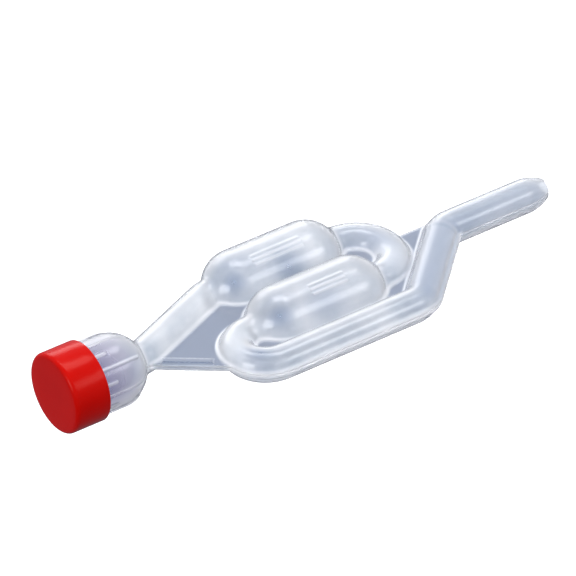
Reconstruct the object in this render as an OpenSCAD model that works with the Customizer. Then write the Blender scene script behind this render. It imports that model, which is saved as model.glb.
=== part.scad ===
// S-bend fermentation airlock: a clear body of two welded half shells and a push-on cap.
// Frame: +X along the stem to its tip, +Z across the weld, origin on the stem's axis,
// halfway along its straight wall. Shapes are drawn from the stem tip and then moved.
// Millimetres. The weld lies on z = 0, "upper" shells on +Z and "lower" shells on -Z.

/* [Tubes] */
// outside diameter of the stem and of every connecting tube
tube_od = 9.5; // [9:0.1:10]
// wall of tubes, chambers and cup
wall = 1.2; // [0.9:0.05:1.3]
// centre-line radius of the two 45 degree knees
knee_bend = 7; // [6:0.25:8]
// centre-line radius of the two knees of the neck
neck_bend = 6; // [5.5:0.25:6.5]

/* [Stem] */
// distance from the stem tip to the knee at the head of the riser
stem_length = 33.6; // [28:0.2:60]
// length of the tapered tip
tip_length = 6.6; // [4:0.2:8]
// outside diameter at the very end of the tip
tip_od = 5.2; // [4.6:0.1:6]
// diameter of the gas hole in the tip
tip_hole = 3.0; // [2:0.1:3.4]

/* [Chambers] */
// outside diameter of each liquid chamber
chamber_od = 19.8; // [19:0.1:20]
// length of a chamber over its domed ends
chamber_length = 41.4; // [38:0.2:44]
// distance from the stem tip to the near ends of the chambers
chamber_front = 59.8; // [59:0.2:61]
// axis of the chamber next to the neck, off the stem axis
neck_chamber_y = 12.2; // [12:0.1:12.6]
// axis of the chamber next to the side tube, off the stem axis
side_chamber_y = -8.3; // [-8.6:0.1:-8.2]

/* [Side tube] */
// axis of the long side tube, off the stem axis
side_tube_y = -24; // [-24.5:0.1:-23.8]

/* [Weld flange and web] */
// thickness of the flange and web in one half shell
weld_half = 0.95; // [0.7:0.05:1.2]
// how far the flange stands out past the tubes
flange_out = 0.7; // [0.4:0.1:1]
// height of the raised band inside the free edge of the rear web
band_rise = 0.4; // [0.2:0.1:0.8]
// width of the raised band
band_width = 2.2; // [1.5:0.1:3]

/* [Cup] */
// outside diameter of the cup
cup_od = 20.2; // [19.6:0.1:20.4]
// distance from the stem tip to the centre of the cup's round bottom
cup_bottom_x = 140.5; // [140:0.1:141]
// straight length of the cup above its round bottom
cup_straight = 16.1; // [15.5:0.1:16.2]
// number of vent ribs on each half of the cup
cup_ribs = 7; // [5:1:9]
// how far each vent rib stands out
cup_rib_rise = 0.25; // [0.15:0.05:0.3]
// width of a vent rib
cup_rib_width = 0.8; // [0.5:0.1:1.2]

/* [Cap] */
// outside diameter of the cap
cap_od = 22.7; // [22.4:0.1:23.2]
// height of the cap
cap_height = 10.6; // [9:0.1:11]
// thickness of the cap's closed end
cap_end = 1.1; // [0.9:0.1:1.4]
// radial clearance between the vent ribs and the cap
cap_clearance = 0.15; // [0.12:0.01:0.2]
// outer edge radius at the closed end
cap_edge = 1.2; // [0.8:0.1:1.8]

/* [Crown ribs] */
// number of fine raised lines on each chamber's crown
crown_ribs = 3; // [2:1:4]
// how far a raised line stands out
crown_rib_rise = 0.25; // [0.15:0.05:0.4]
// width of a raised line
crown_rib_width = 0.55; // [0.4:0.05:0.8]
// spacing of the raised lines round the crown, in degrees
crown_rib_step = 8; // [6:1:10]

/* [Output] */
// which node to build

/* [Hidden] */
$fn = 64;
eps = 0.01;
tube_r = tube_od / 2;
bore_r = tube_r - wall;
chamber_r = chamber_od / 2;
chamber_in = chamber_r - wall;
cup_r = cup_od / 2;
cup_in = cup_r - wall;
reach = 400;
// chamber ends and the centres of their domes
front_x = -chamber_front;
rear_x = -chamber_front - chamber_length;
front_dome_x = front_x - chamber_r;
rear_dome_x = rear_x + chamber_r;
// where a tube's rim meets a dome, measured from the dome's centre
tube_on_dome = sqrt(chamber_r * chamber_r - tube_r * tube_r);
stub = 0.5;
rear_stub = 1.6;
pierce = 4;
// U-bends
front_bend_x = front_dome_x + tube_on_dome + stub;
rear_bend_x = rear_dome_x - tube_on_dome - rear_stub;
front_bend_y = (neck_chamber_y + side_chamber_y) / 2;
front_bend_r = (neck_chamber_y - side_chamber_y) / 2;
rear_bend_y = (side_chamber_y + side_tube_y) / 2;
rear_bend_r = (side_chamber_y - side_tube_y) / 2;
// 45 degree riser between the side tube and the stem
rise_angle = 45;
knee_cut = knee_bend * tan(rise_angle / 2);
stem_knee_x = -stem_length;
side_knee_x = stem_knee_x + side_tube_y / tan(rise_angle);
riser_length = -side_tube_y / sin(rise_angle) - 2 * knee_cut;
stem_start = stem_knee_x + knee_cut;
side_end = side_knee_x - knee_cut;
// from the stem tip to the origin
origin_x = (stem_start - tip_length) / 2;
// neck between the cup and its chamber
foot_on_cup = sqrt(cup_r * cup_r - tube_r * tube_r);
neck_foot_x = -cup_bottom_x + foot_on_cup + stub + 1.3;
neck_head_x = rear_dome_x - tube_on_dome - stub - 1.4;
neck_angle = atan(neck_chamber_y / (neck_head_x - neck_foot_x));
neck_cut = neck_bend * tan(neck_angle / 2);
neck_length = neck_chamber_y / sin(neck_angle) - 2 * neck_cut;
foot_end = neck_foot_x - neck_cut;
head_start = neck_head_x + neck_cut;
// cup and cap
cup_mouth_x = -cup_bottom_x - cup_straight;
cap_gap = 0.3;
cap_x = cup_mouth_x - cap_gap - cap_end;
cap_r = cap_od / 2;
cap_in = cup_r + cup_rib_rise + cap_clearance;
cup_rib_length = cap_height - cap_end - cap_gap + 3.2;
cup_rib_spread = 140;
cap_chamfer = 0.25;
// crown ribs
crown_turn = 24;
crown_rib_long = 14.9;
crown_rib_short = 10.4;
crown_sink = 0.3;
crown_rib_x = front_x - 14;
// free edge of the rear web, from the foot of the cup to the rear U-bend
web_meet = 190;
edge_foot = [-cup_bottom_x + foot_on_cup + 0.1, -tube_r];
edge_bend = [rear_bend_x + (rear_bend_r + tube_r + flange_out) * cos(web_meet),
    rear_bend_y + (rear_bend_r + tube_r + flange_out) * sin(web_meet)];
band_inset = 0.6;
band_start = 4;
band_end = 4.5;
edge_turn = atan2(edge_bend[1] - edge_foot[1], edge_bend[0] - edge_foot[0]);
edge_length = norm(edge_bend - edge_foot);
// free edge of the front web
front_edge_y = 4.1;

// ---- building blocks, all on the weld plane

// round rod from (x, y) along a heading
module rod(x, y, turn, length, r) {
    translate([x, y, 0]) rotate([0, 0, turn]) rotate([0, 90, 0]) cylinder(r = r, h = length);
}

// round rod bent to an arc about (x, y)
module bow(x, y, bend, from, sweep, r) {
    translate([x, y, 0]) rotate_extrude(angle = sweep, start = from) translate([bend, 0]) circle(r = r);
}

// round-ended capsule along X
module capsule(y, r) {
    translate([rear_dome_x, y, 0]) rotate([0, 90, 0]) rotate_extrude() intersection() {
        union() {
            circle(r = r);
            square([r, front_dome_x - rear_dome_x]);
            translate([0, front_dome_x - rear_dome_x]) circle(r = r);
        }
        translate([0, -reach / 2]) square([reach, reach]);
    }
}

// moves what is drawn from the stem tip to the part's own origin
module put() {
    translate([-origin_x, 0, 0]) children();
}

// keeps the +Z half
module upper_half() {
    intersection() {
        children();
        translate([-reach / 2 - 80, -reach / 2, 0]) cube([reach, reach, reach / 2]);
    }
}

// flange ring sector about (x, y)
module flange_bow(x, y, bend, from, sweep, out) {
    translate([x, y, 0]) rotate_extrude(angle = sweep, start = from)
        translate([bend, -weld_half]) square([out, 2 * weld_half]);
}

// ---- runs of tube, drawn once with r = tube_r for the outside and r = bore_r for the bore

module foot_run(r, extra) {
    rod(foot_end - extra, 0, 0, extra, r);
    bow(foot_end, neck_bend, neck_bend, 270, neck_angle, r);
}

module neck_head_run(r, extra) {
    bow(head_start, neck_chamber_y - neck_bend, neck_bend, 90, neck_angle, r);
    rod(head_start, neck_chamber_y, 0, extra, r);
}

module front_bend_run(r, extra) {
    bow(front_bend_x, front_bend_y, front_bend_r, 270, 180, r);
    rod(front_bend_x - extra, neck_chamber_y, 0, extra, r);
    rod(front_bend_x - extra, side_chamber_y, 0, extra, r);
}

module rear_bend_run(r, extra) {
    bow(rear_bend_x, rear_bend_y, rear_bend_r, 90, 180, r);
    rod(rear_bend_x, side_chamber_y, 0, extra, r);
}

// outline of a chamber on the weld plane
module capsule_outline(y) {
    translate([rear_dome_x, y]) circle(r = chamber_r);
    translate([rear_dome_x, y - chamber_r]) square([front_dome_x - rear_dome_x, chamber_od]);
    translate([front_dome_x, y]) circle(r = chamber_r);
}

// lines standing out of a chamber's crown
module crown_lines(y, length) {
    for (i = [0 : crown_ribs - 1])
        translate([crown_rib_x - length, y, 0])
            rotate([crown_turn + (i - (crown_ribs - 1) / 2) * crown_rib_step, 0, 0])
                translate([0, -crown_rib_width / 2, chamber_r - crown_sink])
                    cube([length, crown_rib_width, crown_sink + crown_rib_rise]);
}

// ---- half shells, +Z side

module cup_shell() {
    difference() {
        upper_half() union() {
            rotate([0, 0, 180]) translate([cup_bottom_x, 0, 0]) rotate([0, 90, 0]) rotate_extrude()
                intersection() {
                    union() {
                        circle(r = cup_r);
                        square([cup_r, cup_straight]);
                    }
                    translate([0, -reach / 2]) square([reach, reach / 2 + cup_straight]);
                }
            for (i = [0 : cup_ribs - 1])
                translate([cup_mouth_x, 0, 0])
                    rotate([(i - (cup_ribs - 1) / 2) * cup_rib_spread / (cup_ribs - 1), 0, 0])
                        translate([0, -cup_rib_width / 2, cup_in + wall / 2])
                            cube([cup_rib_length, cup_rib_width, wall / 2 + cup_rib_rise]);
        }
        translate([-cup_bottom_x, 0, 0]) sphere(r = cup_in);
        rod(cup_mouth_x - 1, 0, 0, cup_straight + 1, cup_in);
        rod(foot_end - pierce, 0, 0, 2 * pierce, bore_r);
    }
}

module foot_shell() {
    difference() {
        upper_half() foot_run(tube_r, pierce);
        foot_run(bore_r, pierce + 1);
        translate([-cup_bottom_x, 0, 0]) sphere(r = cup_r);
    }
}

module neck_shell() {
    translate([neck_foot_x + neck_cut * cos(neck_angle), neck_cut * sin(neck_angle), 0])
        rotate([0, 0, neck_angle]) difference() {
            upper_half() rod(0, 0, 0, neck_length, tube_r);
            rod(-1, 0, 0, neck_length + 2, bore_r);
        }
}

module neck_head_shell() {
    difference() {
        upper_half() neck_head_run(tube_r, pierce);
        neck_head_run(bore_r, pierce + 1);
        capsule(neck_chamber_y, chamber_r);
    }
}

module neck_chamber_shell() {
    difference() {
        upper_half() union() {
            capsule(neck_chamber_y, chamber_r);
            crown_lines(neck_chamber_y, crown_rib_long);
        }
        capsule(neck_chamber_y, chamber_in);
        rod(head_start - pierce, neck_chamber_y, 0, 2 * pierce, bore_r);
        rod(front_bend_x - pierce, neck_chamber_y, 0, 2 * pierce, bore_r);
    }
}

module side_chamber_shell() {
    difference() {
        upper_half() union() {
            capsule(side_chamber_y, chamber_r);
            crown_lines(side_chamber_y, crown_rib_short);
        }
        capsule(side_chamber_y, chamber_in);
        rod(rear_bend_x - pierce, side_chamber_y, 0, 2 * pierce, bore_r);
        rod(front_bend_x - pierce, side_chamber_y, 0, 2 * pierce, bore_r);
    }
}

module front_bend_shell() {
    difference() {
        upper_half() front_bend_run(tube_r, pierce);
        front_bend_run(bore_r, pierce + 1);
        capsule(neck_chamber_y, chamber_r);
        capsule(side_chamber_y, chamber_r);
    }
}

module rear_bend_shell() {
    difference() {
        upper_half() union() {
            rear_bend_run(tube_r, pierce);
            flange_bow(rear_bend_x, rear_bend_y, rear_bend_r, web_meet, 270 - web_meet, tube_r + flange_out);
        }
        rear_bend_run(bore_r, pierce + 1);
        capsule(side_chamber_y, chamber_r);
    }
}

module side_tube_shell() {
    difference() {
        upper_half() union() {
            rod(rear_bend_x, side_tube_y, 0, side_end - rear_bend_x, tube_r);
            translate([rear_bend_x, side_tube_y - tube_r - flange_out, -weld_half])
                cube([side_end - rear_bend_x, tube_r + flange_out, 2 * weld_half]);
        }
        rod(rear_bend_x - 1, side_tube_y, 0, side_end - rear_bend_x + 2, bore_r);
    }
}

module side_knee_shell() {
    difference() {
        upper_half() union() {
            bow(side_end, side_tube_y + knee_bend, knee_bend, 270, rise_angle, tube_r);
            flange_bow(side_end, side_tube_y + knee_bend, knee_bend, 270, rise_angle, tube_r + flange_out);
        }
        bow(side_end, side_tube_y + knee_bend, knee_bend, 269, rise_angle + 2, bore_r);
    }
}

module riser_shell() {
    translate([side_knee_x + knee_cut * cos(rise_angle), side_tube_y + knee_cut * sin(rise_angle), 0])
        rotate([0, 0, rise_angle]) difference() {
            upper_half() union() {
                rod(0, 0, 0, riser_length, tube_r);
                translate([0, -tube_r - flange_out, -weld_half])
                    cube([riser_length, tube_r + flange_out, 2 * weld_half]);
            }
            rod(-1, 0, 0, riser_length + 2, bore_r);
        }
}

module stem_knee_shell() {
    difference() {
        upper_half() bow(stem_start, -knee_bend, knee_bend, 90, rise_angle, tube_r);
        bow(stem_start, -knee_bend, knee_bend, 89, rise_angle + 2, bore_r);
    }
}

module stem_shell() {
    difference() {
        upper_half() union() {
            rod(stem_start, 0, 0, -stem_start - tip_length, tube_r);
            translate([-tip_length, 0, 0]) rotate([0, 90, 0])
                cylinder(r1 = tube_r, r2 = tip_od / 2, h = tip_length);
        }
        rod(stem_start - 1, 0, 0, -stem_start - tip_length + 1, bore_r);
        translate([-tip_length, 0, 0]) rotate([0, 90, 0])
            cylinder(r1 = bore_r, r2 = tip_hole / 2, h = tip_length);
    }
}

// plate from the neck to the rear U-bend, through between the chambers into the front U-bend
module rear_web_shell() {
    linear_extrude(weld_half) difference() {
        union() {
            polygon([
                edge_foot, edge_bend,
                [rear_bend_x + rear_bend_r * cos(web_meet), rear_bend_y + rear_bend_r * sin(web_meet)],
                [rear_bend_x - rear_bend_r * cos(45), rear_bend_y + rear_bend_r * sin(45)],
                [rear_bend_x, side_chamber_y], [front_dome_x, side_chamber_y],
                [front_dome_x, side_chamber_y + tube_r], [front_bend_x, side_chamber_y + tube_r],
                [front_bend_x, neck_chamber_y - tube_r], [front_dome_x, neck_chamber_y - tube_r],
                [rear_dome_x, neck_chamber_y - tube_r], [head_start, neck_chamber_y - tube_r],
                [head_start + (neck_bend - tube_r) * cos(90 + neck_angle),
                    neck_chamber_y - neck_bend + (neck_bend - tube_r) * sin(90 + neck_angle)],
                [foot_end + (neck_bend + tube_r) * cos(270 + neck_angle),
                    neck_bend + (neck_bend + tube_r) * sin(270 + neck_angle)],
                [foot_end, -tube_r]
            ]);
            translate([front_bend_x, front_bend_y]) circle(r = front_bend_r - tube_r);
        }
        capsule_outline(neck_chamber_y);
        capsule_outline(side_chamber_y);
        translate([rear_bend_x, rear_bend_y]) circle(r = rear_bend_r + tube_r);
        translate([foot_end, neck_bend]) circle(r = neck_bend + tube_r);
    }
    translate([edge_foot[0], edge_foot[1], 0]) rotate([0, 0, edge_turn])
        translate([band_start, band_inset, 0])
            cube([edge_length - band_start - band_end, band_width, weld_half + band_rise]);
}

// plate between the side chamber, the front U-bend and the side tube with its riser
module front_web_shell() {
    linear_extrude(weld_half) difference() {
        union() {
            polygon([
                [rear_bend_x, side_tube_y + tube_r], [side_end, side_tube_y + tube_r],
                [side_end + (knee_bend - tube_r) * cos(270 + rise_angle),
                    side_tube_y + knee_bend + (knee_bend - tube_r) * sin(270 + rise_angle)],
                [stem_start + (knee_bend + tube_r) * cos(90 + rise_angle),
                    (knee_bend + tube_r) * sin(90 + rise_angle) - knee_bend],
                [stem_start - 1.6, front_edge_y],
                [front_bend_x + front_bend_r + 2, front_edge_y],
                [front_bend_x, front_bend_y], [front_dome_x, side_chamber_y],
                [rear_dome_x, side_chamber_y], [rear_dome_x, side_chamber_y - tube_r],
                [rear_bend_x, side_chamber_y - tube_r]
            ]);
            translate([rear_bend_x, rear_bend_y]) circle(r = rear_bend_r - tube_r);
        }
        capsule_outline(side_chamber_y);
        translate([front_bend_x, front_bend_y]) circle(r = front_bend_r + tube_r);
        translate([stem_start, -knee_bend]) circle(r = knee_bend + tube_r);
    }
}

// ---- nodes

module cap() {
    color([0.8, 0.05, 0.03]) put() translate([cap_x, 0, 0]) rotate([0, 90, 0]) rotate_extrude() difference() {
        union() {
            square([cap_r - cap_edge, cap_height]);
            translate([0, cap_edge]) square([cap_r, cap_height - cap_edge]);
            intersection() {
                translate([cap_r - cap_edge, cap_edge]) circle(r = cap_edge);
                translate([cap_r - cap_edge, 0]) square([cap_edge, cap_edge]);
            }
        }
        translate([0, cap_end]) square([cap_in, cap_height]);
        polygon([[cap_in - eps, cap_height - cap_chamfer], [cap_in + cap_chamfer, cap_height + eps],
            [cap_in - eps, cap_height + eps]]);
    }
}

module cup_upper() { color([0.80, 0.84, 0.92]) put() cup_shell(); }
module cup_lower() { color([0.76, 0.80, 0.90]) put() mirror([0, 0, 1]) cup_shell(); }
module foot_upper() { color([0.80, 0.84, 0.92]) put() foot_shell(); }
module foot_lower() { color([0.76, 0.80, 0.90]) put() mirror([0, 0, 1]) foot_shell(); }
module neck_upper() { color([0.80, 0.84, 0.92]) put() neck_shell(); }
module neck_lower() { color([0.76, 0.80, 0.90]) put() mirror([0, 0, 1]) neck_shell(); }
module neck_head_upper() { color([0.80, 0.84, 0.92]) put() neck_head_shell(); }
module neck_head_lower() { color([0.76, 0.80, 0.90]) put() mirror([0, 0, 1]) neck_head_shell(); }
module neck_chamber_upper() { color([0.80, 0.84, 0.92]) put() neck_chamber_shell(); }
module neck_chamber_lower() { color([0.76, 0.80, 0.90]) put() mirror([0, 0, 1]) neck_chamber_shell(); }
module front_bend_upper() { color([0.80, 0.84, 0.92]) put() front_bend_shell(); }
module front_bend_lower() { color([0.76, 0.80, 0.90]) put() mirror([0, 0, 1]) front_bend_shell(); }
module side_chamber_upper() { color([0.80, 0.84, 0.92]) put() side_chamber_shell(); }
module side_chamber_lower() { color([0.76, 0.80, 0.90]) put() mirror([0, 0, 1]) side_chamber_shell(); }
module rear_bend_upper() { color([0.80, 0.84, 0.92]) put() rear_bend_shell(); }
module rear_bend_lower() { color([0.76, 0.80, 0.90]) put() mirror([0, 0, 1]) rear_bend_shell(); }
module side_tube_upper() { color([0.80, 0.84, 0.92]) put() side_tube_shell(); }
module side_tube_lower() { color([0.76, 0.80, 0.90]) put() mirror([0, 0, 1]) side_tube_shell(); }
module side_knee_upper() { color([0.80, 0.84, 0.92]) put() side_knee_shell(); }
module side_knee_lower() { color([0.76, 0.80, 0.90]) put() mirror([0, 0, 1]) side_knee_shell(); }
module riser_upper() { color([0.80, 0.84, 0.92]) put() riser_shell(); }
module riser_lower() { color([0.76, 0.80, 0.90]) put() mirror([0, 0, 1]) riser_shell(); }
module stem_knee_upper() { color([0.80, 0.84, 0.92]) put() stem_knee_shell(); }
module stem_knee_lower() { color([0.76, 0.80, 0.90]) put() mirror([0, 0, 1]) stem_knee_shell(); }
module stem_upper() { color([0.80, 0.84, 0.92]) put() stem_shell(); }
module stem_lower() { color([0.76, 0.80, 0.90]) put() mirror([0, 0, 1]) stem_shell(); }
module rear_web_upper() { color([0.70, 0.76, 0.88]) put() rear_web_shell(); }
module rear_web_lower() { color([0.66, 0.72, 0.86]) put() mirror([0, 0, 1]) rear_web_shell(); }
module front_web_upper() { color([0.70, 0.76, 0.88]) put() front_web_shell(); }
module front_web_lower() { color([0.66, 0.72, 0.86]) put() mirror([0, 0, 1]) front_web_shell(); }

cap();
cup_upper();
cup_lower();
foot_upper();
foot_lower();
neck_upper();
neck_lower();
neck_head_upper();
neck_head_lower();
neck_chamber_upper();
neck_chamber_lower();
front_bend_upper();
front_bend_lower();
side_chamber_upper();
side_chamber_lower();
rear_bend_upper();
rear_bend_lower();
side_tube_upper();
side_tube_lower();
side_knee_upper();
side_knee_lower();
riser_upper();
riser_lower();
stem_knee_upper();
stem_knee_lower();
stem_upper();
stem_lower();
rear_web_upper();
rear_web_lower();
front_web_upper();
front_web_lower();
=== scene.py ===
"""S-bend fermentation airlock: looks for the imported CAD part.

The clear body is two half shells, each one mesh, grown from the same centre lines
as the CAD nodes but with moulded fillets. The shape functions work in millimetres
from the stem tip, Blender in metres in the row frame.
"""

import math

import bmesh
import bpy
import numpy as np
import openvdb
from mathutils import Matrix, Vector


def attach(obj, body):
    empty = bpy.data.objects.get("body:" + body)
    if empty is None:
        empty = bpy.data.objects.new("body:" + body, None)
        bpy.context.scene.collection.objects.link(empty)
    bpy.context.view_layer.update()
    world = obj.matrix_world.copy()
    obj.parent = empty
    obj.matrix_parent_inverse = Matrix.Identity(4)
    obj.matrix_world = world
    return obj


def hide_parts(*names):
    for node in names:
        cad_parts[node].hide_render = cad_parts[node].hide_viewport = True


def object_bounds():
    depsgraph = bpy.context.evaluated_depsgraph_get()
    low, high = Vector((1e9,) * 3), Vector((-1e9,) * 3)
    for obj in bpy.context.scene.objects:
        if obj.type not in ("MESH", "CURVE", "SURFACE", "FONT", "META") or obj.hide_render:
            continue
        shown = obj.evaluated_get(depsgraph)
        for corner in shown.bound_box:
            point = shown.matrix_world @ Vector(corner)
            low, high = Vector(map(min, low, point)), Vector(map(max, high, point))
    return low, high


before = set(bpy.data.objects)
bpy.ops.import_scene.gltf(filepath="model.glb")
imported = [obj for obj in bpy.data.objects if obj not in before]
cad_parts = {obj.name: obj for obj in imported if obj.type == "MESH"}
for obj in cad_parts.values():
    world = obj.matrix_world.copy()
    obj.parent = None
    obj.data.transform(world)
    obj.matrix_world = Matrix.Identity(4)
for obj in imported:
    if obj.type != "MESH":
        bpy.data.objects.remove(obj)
CAD_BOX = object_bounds()

MM = 0.001
SHIFT = round(CAD_BOX[1][0] / MM, 2)  # x of the stem tip, where the shapes are drawn from, in mm

# ---- sizes, as in the part (mm, x from the stem tip)
TUBE_R, WALL = 4.75, 1.2
BORE_R = TUBE_R - WALL
CHAMBER_R = 9.9
CUP_R = 10.1
FRONT_DOME, REAR_DOME = -69.7, -91.3
NECK_Y, SIDE_Y, TUBE_Y = 12.2, -8.3, -24.0
FRONT_BEND, REAR_BEND = -60.5, -101.6
STEM_KNEE, KNEE_R, NECK_R = -33.6, 7.0, 6.0
CUP_X, CUP_MOUTH = -140.5, -156.6
TIP_LENGTH, TIP_R, TIP_HOLE_R = 6.6, 2.6, 1.5
WELD_HALF, FLANGE_OUT = 0.95, 0.7
KNEE_CUT = KNEE_R * math.tan(math.radians(22.5))
SIDE_KNEE = STEM_KNEE + TUBE_Y
FOOT_X, HEAD_X = -129.8, -101.8
WEB_FOOT = (-131.8, -4.6)  # where the rear web's free edge leaves the cup
WEB_MEET_TURN = 190  # where that edge meets the rear bend, degrees round it
FRONT_EDGE_Y = 4.1  # free edge of the front web
BAND_INSET, BAND_WIDTH, BAND_RISE = 0.6, 2.2, 0.4  # raised band along the rear web's free edge
BAND_START, BAND_STOP = 4, 4.5  # how far it stays from the two ends of the edge
CROWN_X, CROWN_TURNS = -73.8, (16, 24, 32)  # front end of the crown lines, degrees down the flank
CROWN_LINES = ((NECK_Y, 14.9), (SIDE_Y, 10.4))  # chamber axis and line length
RIBS, RIB_SPREAD = 7, 140  # vent ribs on a half, degrees from first to last
RIB_SHORT, RIB_LONG = -144.2, -135.5  # where the ribs end
CAP_END, CAP_RIM, CAP_R, CAP_IN = -158.0, -147.4, 11.35, 10.5
CAP_THICK = 1.1
CAP_EDGE, CAP_INNER_EDGE, CAP_LIP, CAP_INNER_LIP = 1.2, 0.5, 0.3, 0.25  # radii of its roundings

# ---- how the shell mesh is grown (mm)
GRID = 0.25
MARGIN = 3.0  # distances are kept this far from the surface
OUTER_FILLET, INNER_FILLET, WEB_FILLET = 1.6, 1.2, 0.9
SEAM_GAP, SEAM_ROUND = 0.02, 0.5  # half the gap between the half shells, rounding of its edges


# ---- signed distances on a grid (negative inside)
def segment(p, a, b):
    """Distance from points to the straight line a-b in the weld plane."""
    ax, ay = a
    dx, dy = b[0] - ax, b[1] - ay
    t = np.clip(((p[0] - ax) * dx + (p[1] - ay) * dy) / (dx * dx + dy * dy), 0, 1)
    return np.sqrt((p[0] - ax - t * dx) ** 2 + (p[1] - ay - t * dy) ** 2 + p[2] ** 2)


def arc(p, centre, bend, start, sweep):
    """Distance to an arc in the weld plane, degrees counted from +X."""
    x, y = p[0] - centre[0], p[1] - centre[1]
    middle = math.radians(start + sweep / 2)
    half = math.radians(sweep / 2)
    u = x * math.cos(middle) + y * math.sin(middle)
    v = -x * math.sin(middle) + y * math.cos(middle)
    turn = np.clip(np.arctan2(v, u), -half, half)
    return np.sqrt((u - bend * np.cos(turn)) ** 2 + (v - bend * np.sin(turn)) ** 2 + p[2] ** 2)


def soft_min(a, b, k):
    h = np.clip(0.5 + 0.5 * (b - a) / k, 0, 1)
    return b + (a - b) * h - k * h * (1 - h)


def soft_max(a, b, k):
    return -soft_min(-a, -b, k)


def polygon(x, y, corners):
    """Signed distance to a polygon in the weld plane."""
    best = np.full(np.broadcast(x, y).shape, 1e9, np.float32)
    sign = np.ones_like(best)
    for i, (bx, by) in enumerate(corners):
        ax, ay = corners[i - 1]
        ex, ey = ax - bx, ay - by
        wx, wy = x - bx, y - by
        t = np.clip((wx * ex + wy * ey) / (ex * ex + ey * ey), 0, 1)
        best = np.minimum(best, (wx - ex * t) ** 2 + (wy - ey * t) ** 2)
        above, below = y >= by, y < ay
        left = ex * wy > ey * wx
        flip = (above & below & left) | (~above & ~below & ~left)
        sign = np.where(flip, -sign, sign)
    return sign * np.sqrt(best)


# ---- centre lines
NECK_TURN = math.degrees(math.atan2(NECK_Y, HEAD_X - FOOT_X))
NECK_CUT = NECK_R * math.tan(math.radians(NECK_TURN / 2))
FRONT_MID, FRONT_R = (NECK_Y + SIDE_Y) / 2, (NECK_Y - SIDE_Y) / 2
REAR_MID, REAR_R = (SIDE_Y + TUBE_Y) / 2, (SIDE_Y - TUBE_Y) / 2


def step(x, y, turn, length):
    return x + length * math.cos(math.radians(turn)), y + length * math.sin(math.radians(turn))


WEB_MEET = step(REAR_BEND, REAR_MID, WEB_MEET_TURN, REAR_R + TUBE_R + FLANGE_OUT)


def neck_line(p):
    foot = step(FOOT_X, 0, NECK_TURN, NECK_CUT)
    head = step(HEAD_X, NECK_Y, NECK_TURN, -NECK_CUT)
    d = segment(p, (CUP_X + 4, 0), (FOOT_X - NECK_CUT, 0))
    d = np.minimum(d, arc(p, (FOOT_X - NECK_CUT, NECK_R), NECK_R, 270, NECK_TURN))
    d = np.minimum(d, segment(p, foot, head))
    d = np.minimum(d, arc(p, (HEAD_X + NECK_CUT, NECK_Y - NECK_R), NECK_R, 90, NECK_TURN))
    return np.minimum(d, segment(p, (HEAD_X + NECK_CUT, NECK_Y), (REAR_DOME, NECK_Y)))


def front_line(p):
    d = arc(p, (FRONT_BEND, FRONT_MID), FRONT_R, 270, 180)
    d = np.minimum(d, segment(p, (FRONT_DOME, NECK_Y), (FRONT_BEND, NECK_Y)))
    return np.minimum(d, segment(p, (FRONT_DOME, SIDE_Y), (FRONT_BEND, SIDE_Y)))


def rear_line(p):
    d = arc(p, (REAR_BEND, REAR_MID), REAR_R, 90, 180)
    return np.minimum(d, segment(p, (REAR_DOME, SIDE_Y), (REAR_BEND, SIDE_Y)))


def side_line(p):
    d = segment(p, (REAR_BEND, TUBE_Y), (SIDE_KNEE - KNEE_CUT, TUBE_Y))
    d = np.minimum(d, arc(p, (SIDE_KNEE - KNEE_CUT, TUBE_Y + KNEE_R), KNEE_R, 270, 45))
    start, end = step(SIDE_KNEE, TUBE_Y, 45, KNEE_CUT), step(STEM_KNEE, 0, 45, -KNEE_CUT)
    return np.minimum(d, segment(p, start, end))


def stem_line(p):
    """The stem runs on past its tip, where the end is cut off."""
    d = arc(p, (STEM_KNEE + KNEE_CUT, -KNEE_R), KNEE_R, 90, 45)
    return np.minimum(d, segment(p, (STEM_KNEE + KNEE_CUT, 0), (30, 0)))


def body_lines(p, r, chamber_r, cup_r, k):
    """Union of every round run, with fillets of about k where runs meet chambers and cup."""
    neck, front, rear, side = neck_line(p), front_line(p), rear_line(p), side_line(p)
    tubes = np.minimum(np.minimum(neck, front), np.minimum(rear, side)) - r
    a = segment(p, (REAR_DOME, NECK_Y), (FRONT_DOME, NECK_Y)) - chamber_r
    b = segment(p, (REAR_DOME, SIDE_Y), (FRONT_DOME, SIDE_Y)) - chamber_r
    cup = segment(p, (CUP_MOUTH - 30, 0), (CUP_X, 0)) - cup_r
    return soft_min(soft_min(tubes, soft_min(a, b, 0.4), k), cup, k)


def taper(p, r_full, r_end):
    """Radius of the stem at each x: constant, then the cone of the tip."""
    t = np.clip((p[0] + TIP_LENGTH) / TIP_LENGTH, 0, 1)
    return r_full + (r_end - r_full) * (0.25 * t + 0.75 * t * t)


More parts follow.
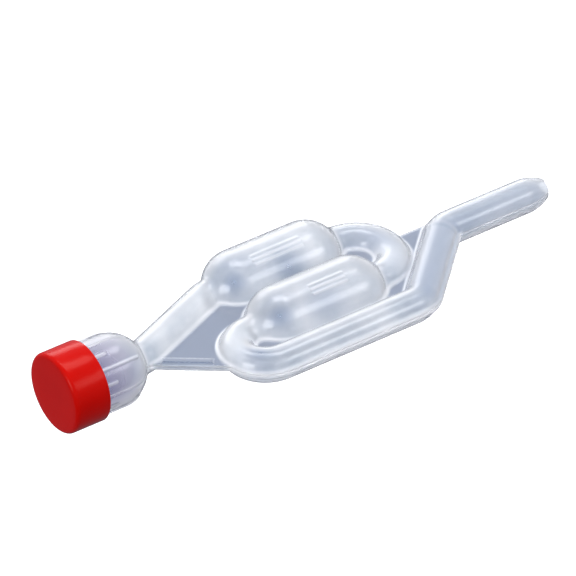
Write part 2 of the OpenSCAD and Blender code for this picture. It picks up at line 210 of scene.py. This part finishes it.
def web_outline(x, y):
    """Both webs and the flange on the weld plane."""
    rear = polygon(x, y, [
        WEB_FOOT, WEB_MEET, step(REAR_BEND, REAR_MID, WEB_MEET_TURN, REAR_R),
        step(REAR_BEND, REAR_MID, 135, REAR_R), (REAR_BEND, SIDE_Y), (FRONT_BEND, SIDE_Y),
        step(FRONT_BEND, FRONT_MID, -45, FRONT_R), step(FRONT_BEND, FRONT_MID, 0, FRONT_R),
        step(FRONT_BEND, FRONT_MID, 45, FRONT_R), (FRONT_BEND, NECK_Y), (HEAD_X, NECK_Y), (FOOT_X, 0)])
    front = polygon(x, y, [
        (REAR_BEND, TUBE_Y), (SIDE_KNEE, TUBE_Y), (STEM_KNEE, 0), (STEM_KNEE + 1, FRONT_EDGE_Y),
        (FRONT_BEND + FRONT_R + 2, FRONT_EDGE_Y), step(FRONT_BEND, FRONT_MID, 0, FRONT_R),
        step(FRONT_BEND, FRONT_MID, -45, FRONT_R), (FRONT_BEND, SIDE_Y), (REAR_BEND, SIDE_Y),
        step(REAR_BEND, REAR_MID, 135, REAR_R), step(REAR_BEND, REAR_MID, 180, REAR_R),
        step(REAR_BEND, REAR_MID, 225, REAR_R)])
    flat = (x, y, np.zeros_like(x))
    bow = arc(flat, (REAR_BEND, REAR_MID), REAR_R, WEB_MEET_TURN, 270 - WEB_MEET_TURN)
    rim = np.minimum(side_line(flat), bow)
    return np.minimum(np.minimum(rear, front), rim - TUBE_R - FLANGE_OUT)


def edge_band(x, y):
    """How far a point is inside the raised band along the rear web's free edge (positive inside)."""
    run_x, run_y = WEB_MEET[0] - WEB_FOOT[0], WEB_MEET[1] - WEB_FOOT[1]
    length = math.hypot(run_x, run_y)
    u = ((x - WEB_FOOT[0]) * run_x + (y - WEB_FOOT[1]) * run_y) / length
    v = ((y - WEB_FOOT[1]) * run_x - (x - WEB_FOOT[0]) * run_y) / length
    along = np.minimum(u - BAND_START, length - BAND_STOP - u)
    return np.minimum(along, np.minimum(v - BAND_INSET, BAND_INSET + BAND_WIDTH - v))


def crown_lines(p):
    """Fine raised lines on the flank of each chamber's crown."""
    best = None
    for axis_y, length in CROWN_LINES:
        for turn in CROWN_TURNS:
            s, c = math.sin(math.radians(turn)), math.cos(math.radians(turn))
            across = (p[1] - axis_y) * c + p[2] * s
            out = p[2] * c - (p[1] - axis_y) * s - CHAMBER_R
            along = np.maximum(np.abs(p[0] - (CROWN_X - length / 2)) - length / 2, 0)
            d = np.sqrt(along ** 2 + across ** 2 + (out + 0.1) ** 2) - 0.34
            best = d if best is None else np.minimum(best, d)
    return best


def cup_ribs(p):
    """Fine vent ribs along the cup, long and short by turns, from its mouth to past the cap."""
    best = None
    for i in range(RIBS):
        turn = math.radians((i / (RIBS - 1) - 0.5) * RIB_SPREAD)
        s, c = math.sin(turn), math.cos(turn)
        across = p[1] * c + p[2] * s
        out = np.sqrt(np.maximum(p[0] - CUP_X, 0) ** 2 + (p[2] * c - p[1] * s) ** 2) - CUP_R
        along = np.maximum(p[0] - (RIB_LONG if i % 2 else RIB_SHORT), 0)
        d = np.sqrt(along ** 2 + across ** 2 + (out + 0.05) ** 2) - 0.42
        best = d if best is None else np.minimum(best, d)
    return best


def outer_body(p):
    return body_lines(p, TUBE_R, CHAMBER_R, CUP_R, OUTER_FILLET)


def shell_distance(axes):
    """Signed distance to the +Z half shell on the grid that the three axes span."""
    p = x, y, z = np.meshgrid(*axes, indexing="ij", sparse=True)
    plane = np.meshgrid(axes[0], axes[1], indexing="ij")
    rise = BAND_RISE * np.clip(edge_band(*plane) / 0.4 + 0.5, 0, 1)[:, :, None]
    web = soft_max(web_outline(*plane)[:, :, None], np.abs(z) - WELD_HALF - rise, 0.5)
    stem = stem_line(p)
    outer = soft_min(outer_body(p), stem - taper(p, TUBE_R, TIP_R), 0.3)
    outer = soft_min(outer, crown_lines(p), 0.3)
    outer = soft_min(outer, cup_ribs(p), 0.25)
    outer = soft_min(outer, web, WEB_FILLET)
    hollow = body_lines(p, BORE_R, CHAMBER_R - WALL, CUP_R - WALL, INNER_FILLET)
    hollow = soft_min(hollow, stem - taper(p, BORE_R, TIP_HOLE_R), 0.3)
    d = soft_max(outer, -hollow, 0.25)
    d = soft_max(d, CUP_MOUTH - x, 0.4)
    round_tip = np.arctan2(z, y)
    nick = 0.175 * np.sin(3.1 * round_tip + 0.6) + 0.09 * np.sin(7 * round_tip)
    d = soft_max(d, x + 0.3 + nick, 0.35)
    return soft_max(d, SEAM_GAP - z, SEAM_ROUND)


def spot(p, centre, size):
    """1 at the centre, falling smoothly to 0 about `size` away."""
    far = sum((p[i] - centre[i]) ** 2 for i in range(3))
    return np.exp(-2.2 * far / size ** 2)


def clear_part(p):
    """Painted shade: soft darker patches standing in for reflections and refraction in the clear plastic,
    as (strength, centre, size), at the chambers' rear ends and lower sides and on both bends, and the
    riser and stem."""
    patches = (
        (0.45, (-93, NECK_Y - 2, 6), 9), (0.45, (-93, SIDE_Y - 2, 6), 8),
        (0.95, (-95.5, NECK_Y - 5, 5), 5), (0.95, (-95, SIDE_Y - 5, 5.5), 5),
        (0.95, (-107, TUBE_Y + 2.5, 3.5), 5),
        (0.55, (-82, SIDE_Y - 7, 6), 9), (0.75, (-80, NECK_Y - 7, 5), 7),
        (0.5, (FRONT_BEND + 9, FRONT_MID, 4), 15))
    # Painted shade: the stem and the riser are made darker than the rest of the clear plastic.
    clear = 0.3 * np.clip((p[0] - STEM_KNEE) / 3, 0, 1)
    riser = segment(p, (SIDE_KNEE + 3.5, TUBE_Y + 3.5), (STEM_KNEE - 3.5, -3.5))
    clear = np.maximum(clear, 0.85 * np.clip((8.0 - riser) / 3, 0, 1))
    for strength, centre, size in patches:
        clear = np.maximum(clear, strength * spot(p, centre, size))
    return clear


def shell_tones(p):
    """Named 0 to 1 values at each point of the shell, which the clear material reads as painted shade,
    painted reflection and painted highlight.
    """
    apart = np.minimum(outer_body(p), stem_line(p) - TUBE_R)
    # Painted highlight on the fillets where runs meet chambers and cup.
    fillet = np.clip((apart - 0.05) / 0.25, 0, 1) * np.clip((1.1 - apart) / 0.5, 0, 1)
    raised = np.minimum(crown_lines(p), cup_ribs(p))
    band_edge = np.clip(1 - np.abs(edge_band(p[0], p[1])) / 0.35, 0, 1)
    # Painted highlight along the raised crown lines, vent ribs and the band's edges.
    lines = np.clip((0.12 - raised) / 0.2, 0, 0.8) + 0.2 * band_edge
    inside_edge = np.clip(-web_outline(p[0], p[1]) / 0.8, 0, 1)
    return {
        # Painted shade: the flat webs, away from the runs, are made darker and bluer.
        "web": np.clip((apart - 0.3) / 0.9, 0, 1) * inside_edge,
        # Painted shade and painted red reflection of the cap: the cup grows darker and violet towards the
        # cap.
        "violet": np.clip((-131 - p[0]) / 16, 0, 0.95),
        # Painted highlight on raised lines, band edges and fillets.
        "line": np.maximum(lines, 0.55 * fillet),
        # Painted shade patches, darker where they are strong.
        "clear": clear_part(p)}


def half_shell():
    """Points (mm), faces and tones of the +Z half shell."""
    low, high = np.array([-158.6, -31.4, -1.2]), np.array([1.6, 24.4, 11.4])
    counts = np.ceil((high - low) / GRID).astype(int)
    axes = [(low[i] + GRID * np.arange(counts[i])).astype(np.float32) for i in range(3)]
    d = np.clip(shell_distance(axes), -MARGIN, MARGIN)
    grid = openvdb.FloatGrid(MARGIN)
    grid.copyFromArray(np.ascontiguousarray(d, dtype=np.float32))
    points, tris, quads = grid.convertToPolygons(0.0, 0.0)
    points = np.asarray(points, np.float64) * GRID + low
    faces = [tuple(int(v) for v in face) for face in [*np.asarray(quads), *np.asarray(tris)]]
    return points, faces, shell_tones(tuple(points.T))


def mesh_object(name, points, faces):
    mesh = bpy.data.meshes.new(name)
    mesh.from_pydata(points, [], faces)
    mesh.update()
    mesh.shade_smooth()
    obj = bpy.data.objects.new(name, mesh)
    bpy.context.collection.objects.link(obj)
    return obj


def outward(obj):
    """Turns the faces so that the mesh's volume is positive."""
    m = obj.data
    co = np.empty(len(m.vertices) * 3)
    m.vertices.foreach_get("co", co)
    co = co.reshape(-1, 3)
    m.calc_loop_triangles()
    tri = np.empty(len(m.loop_triangles) * 3, np.int32)
    m.loop_triangles.foreach_get("vertices", tri)
    tri = tri.reshape(-1, 3)
    a, b, c = co[tri[:, 0]], co[tri[:, 1]], co[tri[:, 2]]
    if np.einsum("ij,ij->i", a, np.cross(b, c)).sum() < 0:
        m.flip_normals()


# ---- materials
def material(name):
    m = bpy.data.materials.new(name)
    m.use_nodes = True
    nodes, links = m.node_tree.nodes, m.node_tree.links
    return m, nodes, links, nodes["Principled BSDF"]


def noise_texture(nodes, links, scale, detail):
    """Noise in the object's own coordinates."""
    where = nodes.new("ShaderNodeTexCoord")
    noise = nodes.new("ShaderNodeTexNoise")
    noise.inputs["Scale"].default_value = scale
    noise.inputs["Detail"].default_value = detail
    links.new(where.outputs["Object"], noise.inputs["Vector"])
    return noise.outputs["Fac"]


def noise_bump(nodes, links, shader, scale, strength, distance):
    bump = nodes.new("ShaderNodeBump")
    bump.inputs["Strength"].default_value = strength
    bump.inputs["Distance"].default_value = distance
    links.new(noise_texture(nodes, links, scale, 3), bump.inputs["Height"])
    links.new(bump.outputs["Normal"], shader.inputs["Normal"])


def ramp(nodes, links, value, start, end, to_start=0.0, to_end=1.0):
    """Carries start..end over to to_start..to_end, clamped."""
    node = nodes.new("ShaderNodeMapRange")
    for name, number in (("From Min", start), ("From Max", end), ("To Min", to_start), ("To Max", to_end)):
        node.inputs[name].default_value = number
    links.new(value, node.inputs["Value"])
    return node.outputs["Result"]


def attribute(nodes, name):
    node = nodes.new("ShaderNodeAttribute")
    node.attribute_name = name
    return node.outputs["Fac"]


def mix(nodes, links, fac, first, second):
    """Colour mix; each input is a colour tuple or a socket."""
    node = nodes.new("ShaderNodeMixRGB")
    links.new(fac, node.inputs["Fac"])
    for name, value in (("Color1", first), ("Color2", second)):
        if isinstance(value, tuple):
            node.inputs[name].default_value = value + (1,)
        else:
            links.new(value, node.inputs[name])
    return node.outputs["Color"]


def clear_plastic():
    """Milky clear plastic: cloudy blue-grey, paler (painted sheen) and then greyer (painted shade) towards
    the outline, bluer in the flat webs (painted shade), faintly violet round the cup (painted shade and
    painted red reflection of the cap), with darker patches (painted shade) and whitish lines (painted
    highlight)."""
    m, nodes, links, s = material("clear_moulded_plastic")
    noise_bump(nodes, links, s, 260, 0.04, 0.0004)
    haze = noise_texture(nodes, links, 70, 5)
    links.new(ramp(nodes, links, haze, 0, 1, 0.11, 0.24), s.inputs["Roughness"])
    cloud = ramp(nodes, links, haze, 0.36, 0.64)
    colour = mix(nodes, links, cloud, (0.58, 0.625, 0.69), (0.84, 0.855, 0.885))
    # Painted shade: darker blue-grey patches standing in for reflections and refraction.
    colour = mix(nodes, links, attribute(nodes, "clear"), colour, (0.30, 0.37, 0.50))
    # Painted shade and painted red reflection of the cap: darker violet round the cup.
    colour = mix(nodes, links, attribute(nodes, "violet"), colour, (0.34, 0.32, 0.46))
    # Painted shade: the flat webs are made darker and bluer.
    colour = mix(nodes, links, attribute(nodes, "web"), colour, (0.105, 0.165, 0.29))
    # Painted sheen and painted shade by viewing angle: paler towards the outline, then greyer at it.
    weight = nodes.new("ShaderNodeLayerWeight")
    weight.inputs["Blend"].default_value = 0.5
    facing = weight.outputs["Facing"]
    colour = mix(nodes, links, ramp(nodes, links, facing, 0.22, 0.60), colour, (0.95, 0.955, 0.97))
    colour = mix(nodes, links, ramp(nodes, links, facing, 0.66, 0.86), colour, (0.46, 0.475, 0.52))
    # Painted highlight: whitish lines on raised lines, band edges and fillets.
    colour = mix(nodes, links, attribute(nodes, "line"), colour, (0.98, 0.98, 1.0))
    links.new(colour, s.inputs["Base Color"])
    s.inputs["Transmission Weight"].default_value = 0.66
    s.inputs["IOR"].default_value = 1.49
    return m


def red_plastic():
    """Glossy red plastic, slightly uneven in tone."""
    m, nodes, links, s = material("glossy_red_plastic")
    noise_bump(nodes, links, s, 420, 0.05, 0.0003)
    cloud = noise_texture(nodes, links, 90, 5)
    tone = mix(nodes, links, cloud, (0.56, 0.0015, 0.0004), (0.68, 0.004, 0.0012))
    links.new(tone, s.inputs["Base Color"])
    s.inputs["Roughness"].default_value = 0.2
    s.inputs["IOR"].default_value = 1.5
    s.inputs["Specular IOR Level"].default_value = 0.2
    s.inputs["Specular Tint"].default_value = (1, 0.45, 0.4, 1)
    s.inputs["Subsurface Weight"].default_value = 0.05
    s.inputs["Subsurface Radius"].default_value = (0.002, 0.0004, 0.0003)
    return m


# ---- the object
def half_shells():
    """The two mouldings of the clear body; the lower one mirrors the upper."""
    points, faces, tones = half_shell()
    plastic = clear_plastic()
    for side, sign in (("upper", 1), ("lower", -1)):
        placed = (points + [SHIFT, 0, 0]) * [MM, MM, sign * MM]
        shell = mesh_object("half_shell_" + side, placed.tolist(), faces)
        outward(shell)
        for tone, values in tones.items():
            layer = shell.data.attributes.new(tone, "FLOAT", "POINT")
            layer.data.foreach_set("value", values.astype(np.float32))
        shell.data.materials.append(plastic)
        shell.visible_shadow = shell.visible_diffuse = False
        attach(shell, "airlock_body")
        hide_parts(*[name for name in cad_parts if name.endswith("_" + side)])


def lathe(name, profile, steps=128):
    """Profile of (x, r) in mm from the axis round to the axis, turned about X into a closed mesh."""
    count = len(profile)
    points, faces = [], []
    for k in range(steps):
        turn = 2 * math.pi * k / steps
        for x, r in profile:
            points.append(((x + SHIFT) * MM, r * MM * math.cos(turn), r * MM * math.sin(turn)))
        here, after = k * count, (k + 1) % steps * count
        for j in range(count - 1):
            faces.append([here + j, here + j + 1, after + j + 1, after + j])
    obj = mesh_object(name, points, faces)
    mesh = bmesh.new()
    mesh.from_mesh(obj.data)
    bmesh.ops.remove_doubles(mesh, verts=mesh.verts, dist=1e-7)
    bmesh.ops.recalc_face_normals(mesh, faces=mesh.faces)
    mesh.to_mesh(obj.data)
    mesh.free()
    outward(obj)
    return obj


def corner(x, r, radius, start, end, count=8):
    """Points round a corner of a profile, degrees counted from +X."""
    turns = [math.radians(start + (end - start) * i / count) for i in range(count + 1)]
    return [(x + radius * math.cos(turn), r + radius * math.sin(turn)) for turn in turns]


def push_on_cap():
    floor_x = CAP_END + CAP_THICK
    profile = [(CAP_END, 0.0), (CAP_END, 3.0), (CAP_END, 7.0)]
    profile += corner(CAP_END + CAP_EDGE, CAP_R - CAP_EDGE, CAP_EDGE, 180, 90)
    profile += [(CAP_END + 4, CAP_R), (CAP_RIM - 3, CAP_R)]
    profile += corner(CAP_RIM - CAP_LIP, CAP_R - CAP_LIP, CAP_LIP, 90, 0, 4)
    profile += corner(CAP_RIM - CAP_INNER_LIP, CAP_IN + CAP_INNER_LIP, CAP_INNER_LIP, 0, -90, 4)
    profile += [(CAP_RIM - 3, CAP_IN)]
    profile += corner(floor_x + CAP_INNER_EDGE, CAP_IN - CAP_INNER_EDGE, CAP_INNER_EDGE, 90, 180, 4)
    profile += [(floor_x, 6.0), (floor_x, 0.0)]
    cap = lathe("cap_shell", profile)
    cap.data.materials.append(red_plastic())
    cap.visible_shadow = cap.visible_diffuse = False
    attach(cap, "cap")
    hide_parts("cap")


# ---- floor, light and camera
def floor():
    """White floor just under the part; it glows faintly and stays out of reflections."""
    m, nodes, links, s = material("floor_white")
    s.inputs["Base Color"].default_value = (0.93, 0.93, 0.93, 1)
    s.inputs["Roughness"].default_value = 0.9
    s.inputs["Emission Color"].default_value = (1, 1, 1, 1)
    s.inputs["Emission Strength"].default_value = 0.35
    size, z = 3.0, CAD_BOX[0][2] - 0.0006
    corners = [(-size, -size, z), (size, -size, z), (size, size, z), (-size, size, z)]
    obj = mesh_object("floor", corners, [(0, 1, 2, 3)])
    obj.data.materials.append(m)
    obj.visible_glossy = obj.visible_diffuse = False


def studio():
    """Sky that darkens smoothly from above to below."""
    world = bpy.data.worlds.new("studio")
    world.use_nodes = True
    nodes, links = world.node_tree.nodes, world.node_tree.links
    where = nodes.new("ShaderNodeTexCoord")
    parts = nodes.new("ShaderNodeSeparateXYZ")
    links.new(where.outputs["Generated"], parts.inputs["Vector"])
    height = ramp(nodes, links, parts.outputs["Z"], -0.35, 0.55)
    shade = mix(nodes, links, height, (0.24, 0.25, 0.29), (0.91, 0.935, 0.985))
    links.new(shade, nodes["Background"].inputs["Color"])
    nodes["Background"].inputs["Strength"].default_value = 0.75
    bpy.context.scene.world = world


def softbox(name, place, size, power):
    """Rectangular light aimed at the middle of the part."""
    light = bpy.data.lights.new(name, "AREA")
    light.shape = "RECTANGLE"
    light.size, light.size_y = size
    light.energy = power
    obj = bpy.data.objects.new(name, light)
    obj.location = place
    aim = Vector((-0.06, 0, 0)) - Vector(place)
    obj.rotation_euler = aim.to_track_quat("-Z", "Y").to_euler()
    bpy.context.collection.objects.link(obj)


def camera(azimuth, elevation, roll, target, distance):
    """Camera at the photograph's angle: degrees, azimuth from -Y towards +X."""
    data = bpy.data.cameras.new("camera")
    data.sensor_width = 36
    data.lens = 619
    data.clip_start, data.clip_end = 0.1, 50
    az, el, tilt = math.radians(azimuth), math.radians(elevation), math.radians(roll)
    back = Vector((math.sin(az) * math.cos(el), -math.cos(az) * math.cos(el), math.sin(el)))
    level = Vector((0, 0, 1)).cross(back).normalized()
    up = back.cross(level)
    right = level * math.cos(tilt) + up * math.sin(tilt)
    top = up * math.cos(tilt) - level * math.sin(tilt)
    obj = bpy.data.objects.new("camera", data)
    turn = Matrix((right, top, back)).transposed().to_4x4()
    obj.matrix_world = Matrix.Translation(Vector(target) + back * distance) @ turn
    bpy.context.collection.objects.link(obj)
    bpy.context.scene.camera = obj


half_shells()
push_on_cap()
floor()
studio()
softbox("top_softbox", (0.05, 0.15, 0.75), (0.6, 0.25), 2.4)
softbox("front_softbox", (0.35, -0.62, 0.5), (0.4, 0.28), 1.2)
softbox("side_softbox", (-0.85, -0.2, 0.25), (0.4, 0.3), 2.1)
softbox("back_softbox", (0.1, 0.8, 0.35), (0.8, 0.3), 1.8)
camera(-33.4, 34.8, -2.2, target=(-0.0629, 0.0029, 0), distance=2.62)
bpy.context.scene.view_settings.view_transform = "Standard"
